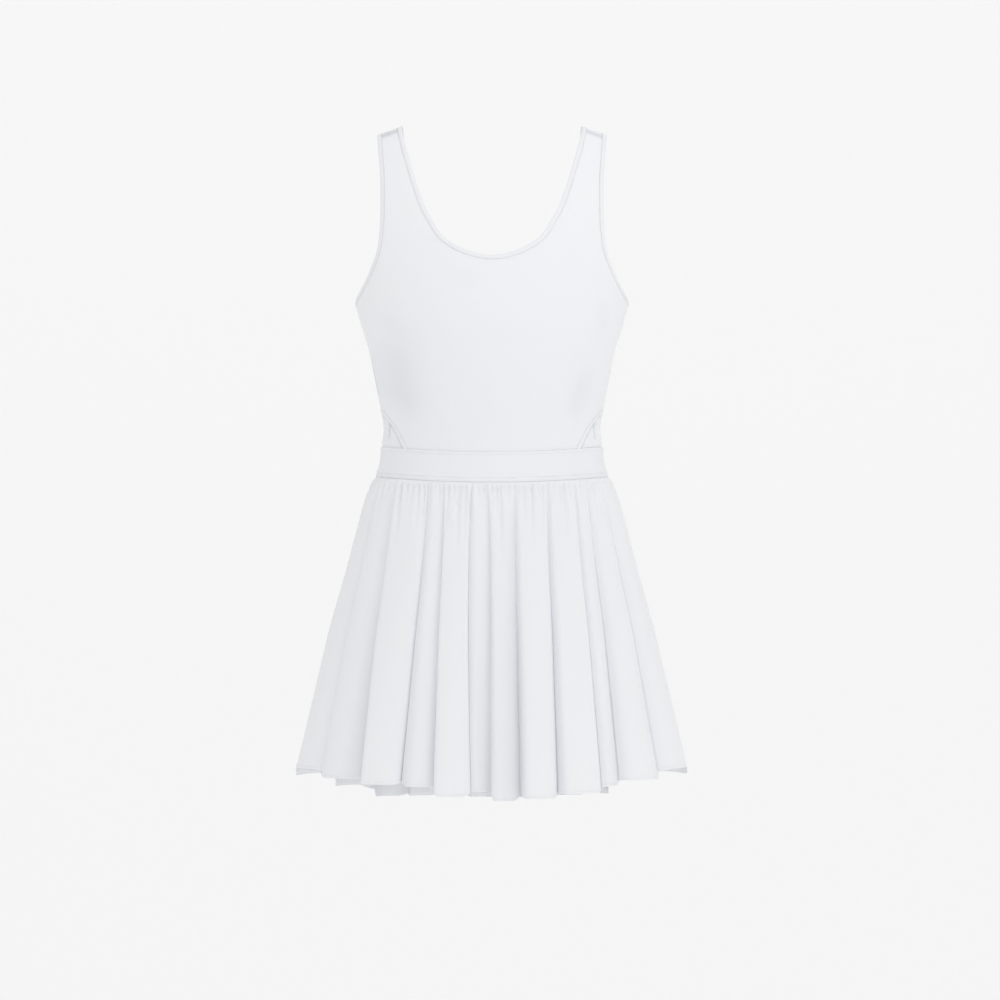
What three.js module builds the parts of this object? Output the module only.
// A sleeveless tennis dress in its worn shape: a stretch bodice with a bound scoop neck and armholes,
// a small bound cut-out at each side of the waist, a flat waistband and a gathered skirt.
// Millimetres, +Z up. The front faces -Y, and the origin is the middle of the shoulder line
// on which the two straps rest.
import * as THREE from "three";

// Cloth thicknesses, the width of the edge binding and the gap left at every seam
const bodiceWall = 1.5;
const skirtWall = 1.2;
const bandWall = 2;
const bindingWall = 2.4;
const bindingWidth = 5.5;
const edgeThinning = 0.12; // share of its thickness that a binding loses on each face at the edge
const seamGap = 0.3;

// Seam heights, measured down from the shoulder line
const shoulderSeam = 5;
const underarm = 199;
const bandTopAtSide = 364.5;
const bandHeight = 34.3;
const waistDip = 6.5;

// The shoulders slope down outwards from a level point, and the slope fades out below them
const shoulderSlope = 0.35;
const slopeLevelAt = 113;
const slopeFlatInside = 97;
const slopeFade = 50;

// The surface that the cloth follows, by distance below the shoulder line
const bodySections = [
  { below: 0, halfWidth: 158, front: 0, back: 0 },
  { below: 3, halfWidth: 159, front: 17, back: 15 },
  { below: 10, halfWidth: 160, front: 30, back: 27 },
  { below: 25, halfWidth: 161, front: 46, back: 42 },
  { below: 50, halfWidth: 162, front: 63, back: 58 },
  { below: 80, halfWidth: 163, front: 77, back: 71 },
  { below: 110, halfWidth: 163, front: 89, back: 81 },
  { below: 145, halfWidth: 161, front: 101, back: 89 },
  { below: 175, halfWidth: 159, front: 110, back: 95 },
  { below: 199, halfWidth: 156.5, front: 115, back: 98 },
  { below: 225, halfWidth: 150, front: 114, back: 97 },
  { below: 254, halfWidth: 141, front: 107, back: 92 },
  { below: 289, halfWidth: 134, front: 98, back: 86 },
  { below: 323, halfWidth: 127, front: 91, back: 82 },
  { below: 343, halfWidth: 124, front: 88, back: 80 },
  { below: 365, halfWidth: 126.5, front: 87, back: 80 },
  { below: 381, halfWidth: 128, front: 87.5, back: 81 },
  { below: 399, halfWidth: 133, front: 90, back: 84 },
  { below: 407, halfWidth: 137.5, front: 93.5, back: 88 },
  { below: 427, halfWidth: 146, front: 99, back: 94 },
  { below: 455, halfWidth: 154, front: 105, back: 102 },
  { below: 513, halfWidth: 169.5, front: 116, back: 115 },
  { below: 570, halfWidth: 185.5, front: 127, back: 128 },
  { below: 628, halfWidth: 199.5, front: 137, back: 140 },
  { below: 685, halfWidth: 213, front: 146, back: 150 },
  { below: 735, halfWidth: 224.5, front: 153, back: 158 },
  { below: 785, halfWidth: 234, front: 160, back: 166 },
];

// Distance of each bodice edge from the centre line, from the shoulder seam down
const neckFront = [
  { below: 5, across: 103 },
  { below: 22, across: 99.2 },
  { below: 41, across: 93.5 },
  { below: 62, across: 87 },
  { below: 85, across: 78.9 },
  { below: 97, across: 73.8 },
  { below: 108, across: 67.4 },
  { below: 120, across: 60.5 },
  { below: 131.5, across: 49.7 },
  { below: 143.5, across: 27.5 },
];
const neckFrontBottom = 149;
const neckBack = [
  { below: 0, across: 102.5 },
  { below: 24, across: 101 },
  { below: 60, across: 97 },
  { below: 100, across: 91 },
  { below: 140, across: 82 },
  { below: 175, across: 67 },
  { below: 200, across: 48 },
  { below: 214, across: 25 },
];
const neckBackBottom = 218;
const armholeFront = [
  { below: 5, across: 131.5 },
  { below: 24, across: 130 },
  { below: 58, across: 127.5 },
  { below: 100, across: 127 },
  { below: 128, across: 128.5 },
  { below: 145, across: 131.5 },
  { below: 155, across: 135 },
  { below: 168, across: 140.3 },
  { below: 181, across: 146.9 },
  { below: 191, across: 153 },
];
const armholeBack = [
  { below: 0, across: 131 },
  { below: 24, across: 127 },
  { below: 60, across: 122 },
  { below: 100, across: 119.5 },
  { below: 130, across: 122 },
  { below: 155, across: 130 },
  { below: 175, across: 141 },
  { below: 190, across: 151.5 },
];

// The front edge of a cut-out, from the side seam forward and down to the waistband
const cutoutEdge = [
  { degreesFromSeam: 0, below: 326 },
  { degreesFromSeam: 13, below: 330 },
  { degreesFromSeam: 21, below: 338 },
  { degreesFromSeam: 27.5, below: 347.5 },
  { degreesFromSeam: 32.5, below: 356.5 },
  { degreesFromSeam: 37, below: 366.3 },
];

// The back panel laps forward past the side seam, close behind that edge
const lapTop = [
  { degreesFromSeam: 0, below: 327.5 },
  { degreesFromSeam: 6.5, below: 329.5 },
  { degreesFromSeam: 13, below: 332 },
  { degreesFromSeam: 21, below: 340.5 },
  { degreesFromSeam: 27.5, below: 350 },
  { degreesFromSeam: 32.5, below: 359 },
];
const lapFootDegrees = 36; // how far from the seam it reaches at the waistband

// The waistband's outer relief: a rolled edge at the top and one above the gathered seam
const bandProfile = [
  { share: 0, raised: 0.5 },
  { share: 0.07, raised: 0.5 },
  { share: 0.12, raised: 0 },
  { share: 0.76, raised: 0 },
  { share: 0.81, raised: 0.6 },
  { share: 0.87, raised: 0 },
  { share: 1, raised: 0 },
];

// Grooves between the tubes of the skirt, from the viewer's left to the right across the front,
// then from right to left across the back. "waist" and "hem" are distances from the centre line,
// "tube" is how far the tube after the groove stands back, and "hemBelow" is where that tube ends.
const frontSeam = { depth: 0, halfWidth: 8, tube: -2, hemBelow: 731 };
const frontGrooves = [
  { waist: -129, hem: -200, depth: 7, halfWidth: 12, tube: -1, hemBelow: 740 },
  { waist: -111, hem: -151, depth: 14, halfWidth: 9, tube: 0, hemBelow: 745 },
  { waist: -75, hem: -100, depth: 11, halfWidth: 6, tube: 1, hemBelow: 746.5 },
  { waist: -55, hem: -69, depth: 13, halfWidth: 7, tube: 0, hemBelow: 757.5 },
  { waist: -22, hem: -22, depth: 9, halfWidth: 4, tube: 9, hemBelow: 752 },
  { waist: -7.5, hem: -4, depth: 13, halfWidth: 5.5, tube: 0, hemBelow: 762 },
  { waist: 26, hem: 32, depth: 14, halfWidth: 8, tube: 0, hemBelow: 759.5 },
  { waist: 65, hem: 79, depth: 10, halfWidth: 5, tube: 0, hemBelow: 754.5 },
  { waist: 95, hem: 128, depth: 8, halfWidth: 4.5, tube: 2, hemBelow: 747 },
  { waist: 110.5, hem: 152, depth: 11, halfWidth: 8.5, tube: 0, hemBelow: 741.5 },
  { waist: 126, hem: 197, depth: 7, halfWidth: 12, tube: 0, hemBelow: 731 },
];
const backSeam = { depth: 0, halfWidth: 8, tube: 0, hemBelow: 741 };
const backGrooves = [
  { waist: 127, hem: 193, depth: 8, halfWidth: 11, tube: 0, hemBelow: 752 },
  { waist: 106, hem: 149, depth: 14, halfWidth: 8, tube: 1, hemBelow: 771 },
  { waist: 83, hem: 113, depth: 12, halfWidth: 5, tube: 0, hemBelow: 774 },
  { waist: 54, hem: 73, depth: 13, halfWidth: 7, tube: 2, hemBelow: 776 },
  { waist: 30, hem: 41, depth: 13, halfWidth: 5.5, tube: 0, hemBelow: 778 },
  { waist: -1, hem: 3, depth: 14, halfWidth: 7, tube: 0, hemBelow: 777 },
  { waist: -27, hem: -33, depth: 11, halfWidth: 4.5, tube: 1, hemBelow: 777 },
  { waist: -49, hem: -64, depth: 14, halfWidth: 7, tube: 0, hemBelow: 775 },
  { waist: -80, hem: -106, depth: 13, halfWidth: 6.5, tube: 0, hemBelow: 774.5 },
  { waist: -104, hem: -146, depth: 14, halfWidth: 8, tube: 0, hemBelow: 760 },
  { waist: -126, hem: -192, depth: 8, halfWidth: 11, tube: 0, hemBelow: 743 },
];
const grooveAtWaist = 3; // depth of a main groove where it leaves the waistband
const grooveWidthAtWaist = 0.5; // its width there, as a share of its width at the hem
const grooveDeepening = 0.75; // power of the way down with which it deepens
const tubeDeepening = 1.5; // power of the way down with which a tube stands back
const tubeRoundness = 4; // how far a tube's flanks fall back at the hem
const valleyLift = 3; // the hem of a groove hangs this much higher than its tubes
const valleyShare = 0.2; // share of a tube over which its hem rises to a groove
const gatherDepth = 2.4; // the small gathers between the main grooves
const gatherLength = 0.3; // share of the skirt's length in which they fade out
const gatherFading = 1.5; // power with which they do
const meanHalfWidth = 190; // of the skirt, to turn an angle into a width of cloth

// Mesh steps of a bodice panel, and the share of the armhole and of the neck edge that lie on the
// strap, from the shoulder seam to where the edge turns away from it
const strapRows = 12;
const strapColumns = 4;
const underarmColumns = 6;
const scoopColumns = 10;
const bodyRows = 10;
const cutoutColumns = cutoutEdge.length - 1;
const lapColumns = lapTop.length - 1;
const lapRows = 2;
const strapShares = {
  front: { armhole: 0.64, neck: 0.62 },
  back: { armhole: 0.64, neck: 0.68 },
};

// Mesh steps of the waistband and the skirt
const bandColumns = 26;
const tubeStations = [0, 0.05, 0.11, 0.2, 0.35, 0.5, 0.65, 0.8, 0.89, 0.95];
const gatherStations = [0.35, 0.65];
const skirtRows = [0, 0.035, 0.09, 0.17, 0.29, 0.46, 0.65, 0.84, 1];
const edgeSamples = 400;

const front = 1;
const back = -1;
const quarterTurn = Math.PI / 2;

const clothColour = 0xf1f2f5;
const cloth = new THREE.MeshStandardMaterial({ color: clothColour, roughness: 0.72, metalness: 0 });
const trim = new THREE.MeshStandardMaterial({ color: 0xeff0f3, roughness: 0.6, metalness: 0 });

// A smooth curve through one column of a table. Sections are spaced by the square root of their
// height, which lets the surface roll over the shoulder line without a corner.
function smoothColumn(rows, column) {
  const places = rows.map((row) => Math.sqrt(row.below));
  const values = rows.map((row) => row[column]);
  const slopes = values.map((value, i) => {
    const before = Math.max(i - 1, 0);
    const after = Math.min(i + 1, values.length - 1);
    return (values[after] - values[before]) / (places[after] - places[before]);
  });
  return (below) => {
    const place = Math.sqrt(Math.max(below, 0));
    let i = places.findIndex((p) => p > place) - 1;
    if (i < 0) i = places.length - 2;
    const width = places[i + 1] - places[i];
    const t = (place - places[i]) / width;
    const start = values[i] * (1 + 2 * t) * (1 - t) ** 2 + slopes[i] * width * t * (1 - t) ** 2;
    const end = values[i + 1] * t * t * (3 - 2 * t) - slopes[i + 1] * width * t * t * (1 - t);
    return start + end;
  };
}
const halfWidthAt = smoothColumn(bodySections, "halfWidth");
const frontDepthAt = smoothColumn(bodySections, "front");
const backDepthAt = smoothColumn(bodySections, "back");

// A place on the bodice is (turn, drop): the turn from the centre line, and the square root of the
// distance below the shoulder, positive down the front and negative down the back.
function bodyPoint(place) {
  const below = place.y * place.y;
  const side = place.y < 0 ? back : front;
  const forward = side * Math.cos(place.x);
  const depth = forward >= 0 ? frontDepthAt(below) : backDepthAt(below);
  const across = halfWidthAt(below) * Math.sin(place.x);
  const outward = Math.max(Math.abs(across), slopeFlatInside) - slopeLevelAt;
  const sloped = shoulderSlope * outward * Math.exp(-((below / slopeFade) ** 2));
  return new THREE.Vector3(across, -forward * depth, -below - sloped);
}

// The two directions of the surface at a place, and its outward normal
function bodyFrame(place) {
  const step = 1e-3;
  const alongTurn = bodyPoint(new THREE.Vector2(place.x + step, place.y))
    .sub(bodyPoint(new THREE.Vector2(place.x - step, place.y)))
    .divideScalar(2 * step);
  const alongDrop = bodyPoint(new THREE.Vector2(place.x, place.y + step))
    .sub(bodyPoint(new THREE.Vector2(place.x, place.y - step)))
    .divideScalar(2 * step);
  const normal = alongDrop.clone().cross(alongTurn).normalize();
  return { alongTurn, alongDrop, normal };
}

// The place reached from another by a short move over the surface
function movedPlace(place, move) {
  const { alongTurn, alongDrop } = bodyFrame(place);
  const tt = alongTurn.dot(alongTurn);
  const dd = alongDrop.dot(alongDrop);
  const td = alongTurn.dot(alongDrop);
  const mt = move.dot(alongTurn);
  const md = move.dot(alongDrop);
  const scale = tt * dd - td * td;
  return new THREE.Vector2(
    place.x + (mt * dd - md * td) / scale,
    place.y + (md * tt - mt * td) / scale,
  );
}

function placeOf(row, side, mirror = 1) {
  const turn = Math.asin(row.across / halfWidthAt(row.below));
  return new THREE.Vector3(mirror * turn, side * Math.sqrt(row.below), 0);
}

// Places at shares of the real length of part of an edge
function placesAlong(curve, from, to, shares) {
  const fine = [];
  for (let i = 0; i <= edgeSamples; i++) {
    const p = curve.getPoint(from + ((to - from) * i) / edgeSamples);
    fine.push(new THREE.Vector2(p.x, p.y));
  }
  const lengths = [0];
  for (let i = 1; i <= edgeSamples; i++) {
    lengths.push(lengths[i - 1] + bodyPoint(fine[i]).distanceTo(bodyPoint(fine[i - 1])));
  }
  return shares.map((share) => {
    const length = share * lengths[edgeSamples];
    const i = Math.max(1, lengths.findIndex((l) => l >= length));
    const t = (length - lengths[i - 1]) / (lengths[i] - lengths[i - 1]);
    return fine[i - 1].clone().lerp(fine[i], t);
  });
}

function evenShares(count) {
  return Array.from({ length: count + 1 }, (_, i) => i / count);
}

// The same edge moved over the cloth by a width. "side" is 1 where the cloth lies to the right of
// the edge's direction, seen from outside, and -1 where it lies to the left.
function insetPlaces(places, width, side, closed) {
  const last = places.length - 1;
  const end = closed ? 0 : last;
  return places.map((place, i) => {
    const before = bodyPoint(places[i > 0 ? i - 1 : last - end]);
    const after = bodyPoint(places[i < last ? i + 1 : end]);
    const along = after.sub(before).normalize();
    const inward = along.cross(bodyFrame(place).normal).multiplyScalar(side * width);
    return movedPlace(place, inward);
  });
}

// A closed wall over a grid of points, each with an outer and an inner face. A grid may leave
// points out: the wall then covers only the cells whose four corners are there.
function wall(columns, closed) {
  const positions = [];
  const numbers = columns.map((column) =>
    column.map((point) => {
      if (!point) return null;
      positions.push(...point.outer.toArray(), ...point.inner.toArray());
      return positions.length / 3 - 2;
    }),
  );
  const count = columns.length;
  const at = (i, j) => numbers[closed ? (i + count) % count : i]?.[j] ?? null;
  const cell = (i, j) => {
    const corners = [at(i, j), at(i + 1, j), at(i + 1, j + 1), at(i, j + 1)];
    return corners.includes(null) ? null : corners;
  };
  const faces = [];
  const quad = (a, b, c, d) => faces.push(a, b, c, a, c, d);
  for (let i = 0; i < (closed ? count : count - 1); i++) {
    for (let j = 0; j < columns[0].length - 1; j++) {
      const corners = cell(i, j);
      if (!corners) continue;
      const [a, b, c, d] = corners;
      quad(a, b, c, d);
      quad(d + 1, c + 1, b + 1, a + 1);
      if (!cell(i, j - 1)) quad(a, a + 1, b + 1, b);
      if (!cell(i + 1, j)) quad(b, b + 1, c + 1, c);
      if (!cell(i, j + 1)) quad(c, c + 1, d + 1, d);
      if (!cell(i - 1, j)) quad(d, d + 1, a + 1, a);
    }
  }
  const geometry = new THREE.BufferGeometry();
  geometry.setAttribute("position", new THREE.Float32BufferAttribute(positions, 3));
  geometry.setIndex(facingOut(positions, faces));
  geometry.computeVertexNormals();
  return geometry;
}

// The faces as given, or turned round where they enclose a negative volume
function facingOut(positions, faces) {
  const corner = (i) => new THREE.Vector3().fromArray(positions, 3 * i);
  let volume = 0;
  for (let i = 0; i < faces.length; i += 3) {
    const [a, b, c] = [corner(faces[i]), corner(faces[i + 1]), corner(faces[i + 2])];
    volume += a.dot(b.cross(c));
  }
  return volume > 0 ? faces : faces.reverse();
}

function part(name, geometry, material) {
  const mesh = new THREE.Mesh(geometry, material);
  mesh.name = name;
  return mesh;
}

// The outer and inner face of bodice cloth or trim at a place, half its thickness to each side
function clothPoint(place, thickness) {
  const point = bodyPoint(place);
  const offset = bodyFrame(place).normal.multiplyScalar(thickness / 2);
  return { outer: point.clone().add(offset), inner: point.clone().sub(offset) };
}

// Shares of an edge at which its places lie: even steps down the strap, then even steps beyond it
function edgeShares(strapShare, stepsBeyond) {
  const strap = evenShares(strapRows).map((share) => share * strapShare);
  const beyond = evenShares(stepsBeyond).map((share) => strapShare + share * (1 - strapShare));
  return [...strap, ...beyond.slice(1)];
}

// The neck edge as one closed row of places: down the front from the left shoulder seam, up to the
// right one, over the shoulder, down the back and up again
function neckLoop() {
  const across = (rows, side, mirror) => rows.map((row) => placeOf(row, side, mirror));
  const points = [
    ...across(neckFront, front, -1),
    new THREE.Vector3(0, Math.sqrt(neckFrontBottom), 0),
    ...across(neckFront, front, 1).reverse(),
    ...across(neckBack, back, 1),
    new THREE.Vector3(0, -Math.sqrt(neckBackBottom), 0),
    ...across(neckBack, back, -1).reverse(),
  ];
  const curve = new THREE.CatmullRomCurve3(points, true, "catmullrom");
  const seamShare = (2 * neckFront.length) / points.length;
  const bothHalves = (strapShare) => {
    const half = edgeShares(strapShare, scoopColumns).map((share) => share / 2);
    return [...half, ...half.slice(1, -1).reverse().map((share) => 1 - share)];
  };
  return [
    ...placesAlong(curve, 0, seamShare, bothHalves(strapShares.front.neck)),
    ...placesAlong(curve, seamShare, 1, bothHalves(strapShares.back.neck)),
  ];
}

// One half of an armhole edge, from the shoulder seam to the underarm. The point past the underarm
// mirrors the one before it, so that front and back meet in one smooth line.
function armholeHalf(side, mirror) {
  const rows = side === front ? armholeFront : [armholeFront[0], ...armholeBack];
  const points = rows.map((row, i) => {
    const onFront = side === front || i === 0;
    return placeOf(row, onFront ? front : back, mirror);
  });
  points.push(new THREE.Vector3(mirror * quarterTurn, side * Math.sqrt(underarm), 0));
  const last = points[points.length - 2];
  points.push(new THREE.Vector3(mirror * Math.PI - last.x, last.y, 0));
  const curve = new THREE.CatmullRomCurve3(points, false, "catmullrom");
  const end = (points.length - 2) / (points.length - 1);
  const strapShare = side === front ? strapShares.front.armhole : strapShares.back.armhole;
  return placesAlong(curve, 0, end, edgeShares(strapShare, underarmColumns));
}

// The whole armhole edge: down the front, then up the back
function armholeLoop(mirror) {
  const up = armholeHalf(back, mirror).reverse();
  return [...armholeHalf(front, mirror), ...up.slice(1, -1)];
}

// The distance below the shoulder of the waistband's edges, which dip at the centre
function bandTop(turn) {
  return bandTopAtSide + waistDip * Math.cos(turn) ** 2;
}
function bandBottom(turn) {
  return bandTop(turn) + bandHeight;
}

// The front edge of a cut-out moved over the cloth by a width. Its last place stays on the
// waistband's top edge.
function cutoutPlaces(mirror, width) {
  const edge = cutoutEdge.map((row) => {
    const turn = quarterTurn - THREE.MathUtils.degToRad(row.degreesFromSeam);
    return new THREE.Vector2(mirror * turn, Math.sqrt(row.below));
  });
  const places = insetPlaces(edge, width, mirror, false);
  places[0].x = mirror * (quarterTurn - seamGap / 2 / frontDepthAt(places[0].y ** 2));
  const foot = places[cutoutColumns];
  const along = bodyPoint(edge[cutoutColumns]).sub(bodyPoint(edge[cutoutColumns - 1]));
  const drop = bandTop(foot.x) - seamGap - foot.y ** 2;
  places[cutoutColumns] = movedPlace(foot, along.multiplyScalar(-drop / along.z));
  return places;
}

// Where the armhole and neck edges of one half of a panel lie in their loops, from the shoulder
// seam to the underarm and to the centre
function halfEdges(side, mirror) {
  const inset = bindingWidth + seamGap;
  const armhole = insetPlaces(armholeLoop(mirror), inset, mirror, true);
  const neck = insetPlaces(neckLoop(), inset, 1, true);
  const quarter = neck.length / 4;
  const seam = mirror === -1 ? 0 : 2 * quarter;
  const step = side * mirror === -1 ? 1 : -1;
  const around = (loop, start, way, count) =>
    evenShares(count).map((_, i) => loop[(start + way * i + loop.length) % loop.length].clone());
  return {
    armhole: around(armhole, 0, side, strapRows + underarmColumns),
    neck: around(neck, seam, step, quarter),
  };
}

// The places of one half of a bodice panel, column by column from the side seam to the centre.
// Only the strap's columns have places above the underarm rows.
function halfPanel(side, mirror) {
  const { armhole, neck } = halfEdges(side, mirror);
  const seamMetric = bodyFrame(new THREE.Vector2(neck[0].x, Math.sqrt(shoulderSeam))).alongDrop.length();
  for (const place of [armhole[0], neck[0]]) {
    place.y = Math.sqrt(shoulderSeam) + (side * seamGap) / 2 / seamMetric;
  }
  const sideTurn = (below) => {
    const depth = side === front ? frontDepthAt(below) : backDepthAt(below);
    return mirror * (quarterTurn - seamGap / 2 / depth);
  };
  const underarmPlace = armhole[armhole.length - 1];
  const underarmBelow = underarmPlace.y ** 2;
  underarmPlace.set(sideTurn(underarmBelow), side * Math.sqrt(underarmBelow));
  const cutout = side === front ? cutoutPlaces(mirror, bindingWidth + 2 * seamGap) : [];
  const sideCorner = new THREE.Vector2(sideTurn(bandTopAtSide), -Math.sqrt(bandTopAtSide - seamGap));
  const bottomStart = side === front ? cutout.pop() : sideCorner;
  const columnCount = underarmColumns + strapColumns + scoopColumns;
  const waistSteps = columnCount - cutout.length;
  const columns = [];
  for (let c = 0; c <= columnCount; c++) {
    const strapShare = (c - underarmColumns) / strapColumns;
    const column = [];
    for (let row = 0; row < strapRows; row++) {
      const onStrap = strapShare >= 0 && strapShare <= 1;
      column.push(onStrap ? armhole[row].clone().lerp(neck[row], strapShare) : null);
    }
    let top = armhole[strapRows].clone().lerp(neck[strapRows], strapShare);
    if (strapShare < 0) top = armhole[armhole.length - 1 - c];
    if (strapShare > 1) top = neck[strapRows + c - underarmColumns - strapColumns];
    let bottom = cutout[c];
    if (!bottom) {
      const turn = bottomStart.x * (1 - (c - cutout.length) / waistSteps);
      bottom = new THREE.Vector2(turn, side * Math.sqrt(bandTop(turn) - seamGap));
    }
    for (const share of evenShares(bodyRows)) column.push(top.clone().lerp(bottom, share));
    columns.push(column);
  }
  for (const place of columns[0]) {
    if (place) place.x = sideTurn(place.y ** 2);
  }
  return side === front ? columns : [...lapPlaces(columns[0], mirror), ...columns];
}

// The columns of the back panel that lie past its side seam, from the lap's front edge to the seam.
// They use the seam column's last rows, whose first one is put at the height of the lap's top.
function lapPlaces(seamColumn, mirror) {
  const firstRow = seamColumn.length - 1 - lapRows;
  seamColumn[firstRow].y = -Math.sqrt(lapTop[0].below);
  const turnAt = (degrees) => mirror * (quarterTurn + THREE.MathUtils.degToRad(degrees));
  const columns = [];
  for (let c = lapColumns; c > 0; c--) {
    const column = seamColumn.map(() => null);
    const top = new THREE.Vector2(turnAt(lapTop[c].degreesFromSeam), -Math.sqrt(lapTop[c].below));
    const footTurn = turnAt((lapFootDegrees * c) / lapColumns);
    const foot = new THREE.Vector2(footTurn, -Math.sqrt(bandTop(footTurn) - seamGap));
    for (let row = 0; row <= lapRows; row++) {
      column[firstRow + row] = top.clone().lerp(foot, row / lapRows);
    }
    columns.push(column);
  }
  return columns;
}

function bodicePanel(side) {
  const otherHalf = halfPanel(side, 1).slice(0, -1).reverse();
  const places = [...halfPanel(side, -1), ...otherHalf];
  const thick = (place) => place && clothPoint(place, bodiceWall);
  return wall(places.map((column) => column.map(thick)), false);
}

// A binding over rows of places at the edge, along its middle and at its seam: a little proud of
// the cloth on both faces, and thinner at the edge
function binding(rows, closed) {
  const columns = rows[0].map((_, i) =>
    rows.map((row, j) => {
      const point = clothPoint(row[i], bindingWall);
      if (j > 0) return point;
      return {
        outer: point.outer.clone().lerp(point.inner, edgeThinning),
        inner: point.inner.clone().lerp(point.outer, edgeThinning),
      };
    }),
  );
  return wall(columns, closed);
}

const bindingWidths = [0, bindingWidth / 2, bindingWidth];

function loopBinding(loop, side) {
  return binding(bindingWidths.map((width) => insetPlaces(loop, width, side, true)), true);
}

function cutoutBinding(mirror) {
  return binding(bindingWidths.map((width) => cutoutPlaces(mirror, width)), false);
}

// A point of the smooth ring that the waistband and the skirt's tubes follow
function ringPoint(turn, below) {
  const depth = Math.cos(turn) >= 0 ? frontDepthAt(below) : backDepthAt(below);
  return new THREE.Vector3(halfWidthAt(below) * Math.sin(turn), -depth * Math.cos(turn), -below);
}

function ringNormal(turn, below) {
  const depth = Math.cos(turn) >= 0 ? frontDepthAt(below) : backDepthAt(below);
  return new THREE.Vector3(depth * Math.sin(turn), -halfWidthAt(below) * Math.cos(turn), 0).normalize();
}

function waistband(side) {
  const middleTurn = side === front ? 0 : Math.PI;
  const columns = evenShares(bandColumns).map((around) => {
    const turn = middleTurn + quarterTurn * (2 * around - 1);
    return bandProfile.map(({ share, raised }) => {
      const below = bandTop(turn) + share * bandHeight;
      const point = ringPoint(turn, below);
      const normal = ringNormal(turn, below);
      return {
        outer: point.clone().addScaledVector(normal, bandWall / 2 + raised),
        inner: point.clone().addScaledVector(normal, -bandWall / 2),
      };
    });
  });
  return wall(openSeams(columns, side), false);
}

// The first and the last column of a half ring drawn back from the side seams
function openSeams(columns, side) {
  for (const { outer, inner } of [...columns[0], ...columns[columns.length - 1]]) {
    outer.y -= (side * seamGap) / 2;
    inner.y -= (side * seamGap) / 2;
  }
  return columns;
}

// The turn at which a distance from the centre line lies, on the front or the back of a ring
function turnOf(across, below, side) {
  const turn = Math.asin(THREE.MathUtils.clamp(across / halfWidthAt(below), -1, 1));
  return side === front ? turn : Math.PI - turn;
}

// Grooves in order round the skirt, each with its turn at the waist and at the hem. The side seams
// run down a crest, so they count as grooves without depth.
function grooveRing() {
  const seam = (turn, row) => ({ ...row, waistTurn: turn, hemTurn: turn });
  const turned = (rows, side) =>
    rows.map((row) => ({
      ...row,
      waistTurn: turnOf(row.waist, bandBottom(0), side),
      hemTurn: turnOf(row.hem, row.hemBelow, side),
    }));
  return [
    seam(-quarterTurn, frontSeam),
    ...turned(frontGrooves, front),
    seam(quarterTurn, backSeam),
    ...turned(backGrooves, back),
  ];
}

// Where the hem of a groove lies, between the tubes before and after it
function valleyHem(previous, groove) {
  return (previous.hemBelow + groove.hemBelow) / 2 - (groove.depth > 0 ? valleyLift : 0);
}

// The columns of the skirt: ten to each tube, close together beside the grooves
function skirtStations() {
  const grooves = grooveRing();
  const stations = [];
  grooves.forEach((groove, i) => {
    const next = grooves[(i + 1) % grooves.length];
    const previous = grooves[(i + grooves.length - 1) % grooves.length];
    const wrap = i + 1 === grooves.length ? 2 * Math.PI : 0;
    for (const share of tubeStations) {
      const fromGroove = THREE.MathUtils.smoothstep(share, 0, valleyShare);
      const toNext = THREE.MathUtils.smoothstep(share, 1 - valleyShare, 1);
      const hemHere = valleyHem(previous, groove);
      const hemNext = valleyHem(groove, next);
      const hemOfTube = THREE.MathUtils.lerp(hemHere, groove.hemBelow, fromGroove);
      stations.push({
        share,
        groove,
        next,
        waistTurn: THREE.MathUtils.lerp(groove.waistTurn, next.waistTurn + wrap, share),
        hemTurn: THREE.MathUtils.lerp(groove.hemTurn, next.hemTurn + wrap, share),
        hemBelow: THREE.MathUtils.lerp(hemOfTube, hemNext, toNext),
        gather: gatherStations.includes(share) ? gatherDepth : 0,
      });
    }
  });
  return stations;
}

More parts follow.
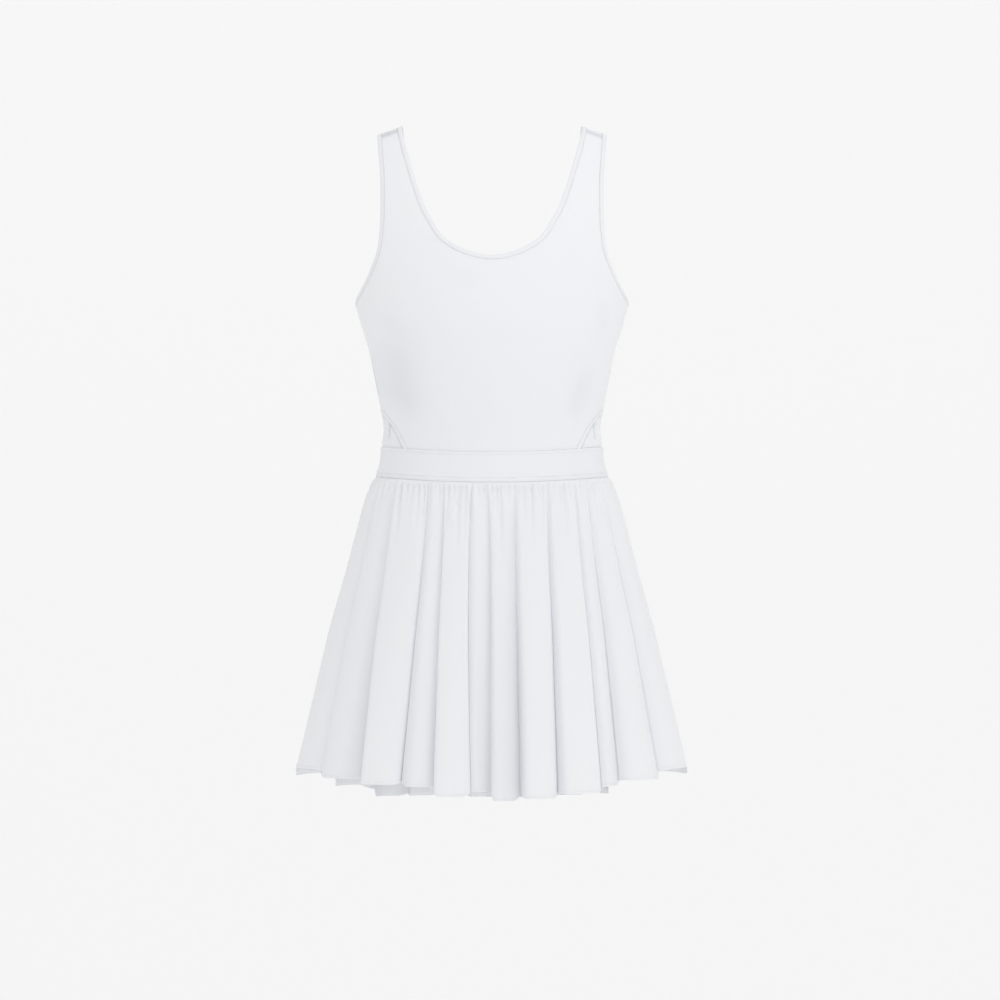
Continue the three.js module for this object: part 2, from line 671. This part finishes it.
// How far a station stands back from the smooth ring at a share of the way to the hem
function recess(station, down) {
  const { groove, next, share } = station;
  const pitch = (next.hemTurn - groove.hemTurn + 2 * Math.PI) % (2 * Math.PI);
  const width = pitch * meanHalfWidth;
  const opening = THREE.MathUtils.lerp(grooveWidthAtWaist, 1, down);
  const fall = (distance, halfWidth) => Math.exp(-((distance / (halfWidth * opening)) ** 2));
  const depthOf = (g) => {
    return g.depth === 0 ? 0 : THREE.MathUtils.lerp(grooveAtWaist, g.depth, down ** grooveDeepening);
  };
  const nearGroove = depthOf(groove) * fall(share * width, groove.halfWidth);
  const nearNext = depthOf(next) * fall((1 - share) * width, next.halfWidth);
  const flank = share < 0.5 ? groove.depth : next.depth;
  const round = flank === 0 ? 0 : tubeRoundness * down * (2 * share - 1) ** 2;
  const tube = groove.tube * down ** tubeDeepening * Math.sin(Math.PI * share);
  const gathered = station.gather * Math.max(0, 1 - down / gatherLength) ** gatherFading;
  return Math.max(nearGroove, nearNext) + round + tube + gathered;
}

// All columns of the skirt's outer face, each from the waist seam to the hem. A fold spreads to its
// place at the hem most quickly just below the waistband.
function skirtColumns() {
  return skirtStations().map((station) => {
    const top = bandBottom(station.waistTurn) + seamGap;
    return skirtRows.map((down) => {
      const turn = THREE.MathUtils.lerp(station.waistTurn, station.hemTurn, Math.sqrt(down));
      const below = THREE.MathUtils.lerp(top, station.hemBelow, down);
      const inward = ringNormal(turn, below).multiplyScalar(-recess(station, down));
      return ringPoint(turn, below).add(inward);
    });
  });
}

// The outward normal of a grid of columns at one of its points, from its neighbours
function gridNormal(columns, i, j) {
  const count = columns.length;
  const rows = columns[0].length;
  const across = columns[(i + 1) % count][j].clone().sub(columns[(i + count - 1) % count][j]);
  const down = columns[i][Math.min(j + 1, rows - 1)].clone().sub(columns[i][Math.max(j - 1, 0)]);
  return down.cross(across).normalize();
}

function skirtPanel(side) {
  const face = skirtColumns();
  const halfway = tubeStations.length * (frontGrooves.length + 1);
  const start = side === front ? 0 : halfway;
  const end = side === front ? halfway : face.length;
  const columns = [];
  for (let i = start; i <= end; i++) {
    const c = i % face.length;
    columns.push(
      face[c].map((point, j) => ({
        outer: point.clone(),
        inner: point.clone().addScaledVector(gridNormal(face, c, j), -skirtWall),
      })),
    );
  }
  return wall(openSeams(columns, side), false);
}

const dress = new THREE.Group();
dress.add(
  part("bodice_front", bodicePanel(front), cloth),
  part("bodice_back", bodicePanel(back), cloth),
  part("neck_binding", loopBinding(neckLoop(), 1), trim),
  part("armhole_binding_left", loopBinding(armholeLoop(-1), -1), trim),
  part("armhole_binding_right", loopBinding(armholeLoop(1), 1), trim),
  part("cutout_binding_left", cutoutBinding(-1), trim),
  part("cutout_binding_right", cutoutBinding(1), trim),
  part("waistband_front", waistband(front), cloth),
  part("waistband_back", waistband(back), cloth),
  part("skirt_front", skirtPanel(front), cloth),
  part("skirt_back", skirtPanel(back), cloth),
);

export default dress;
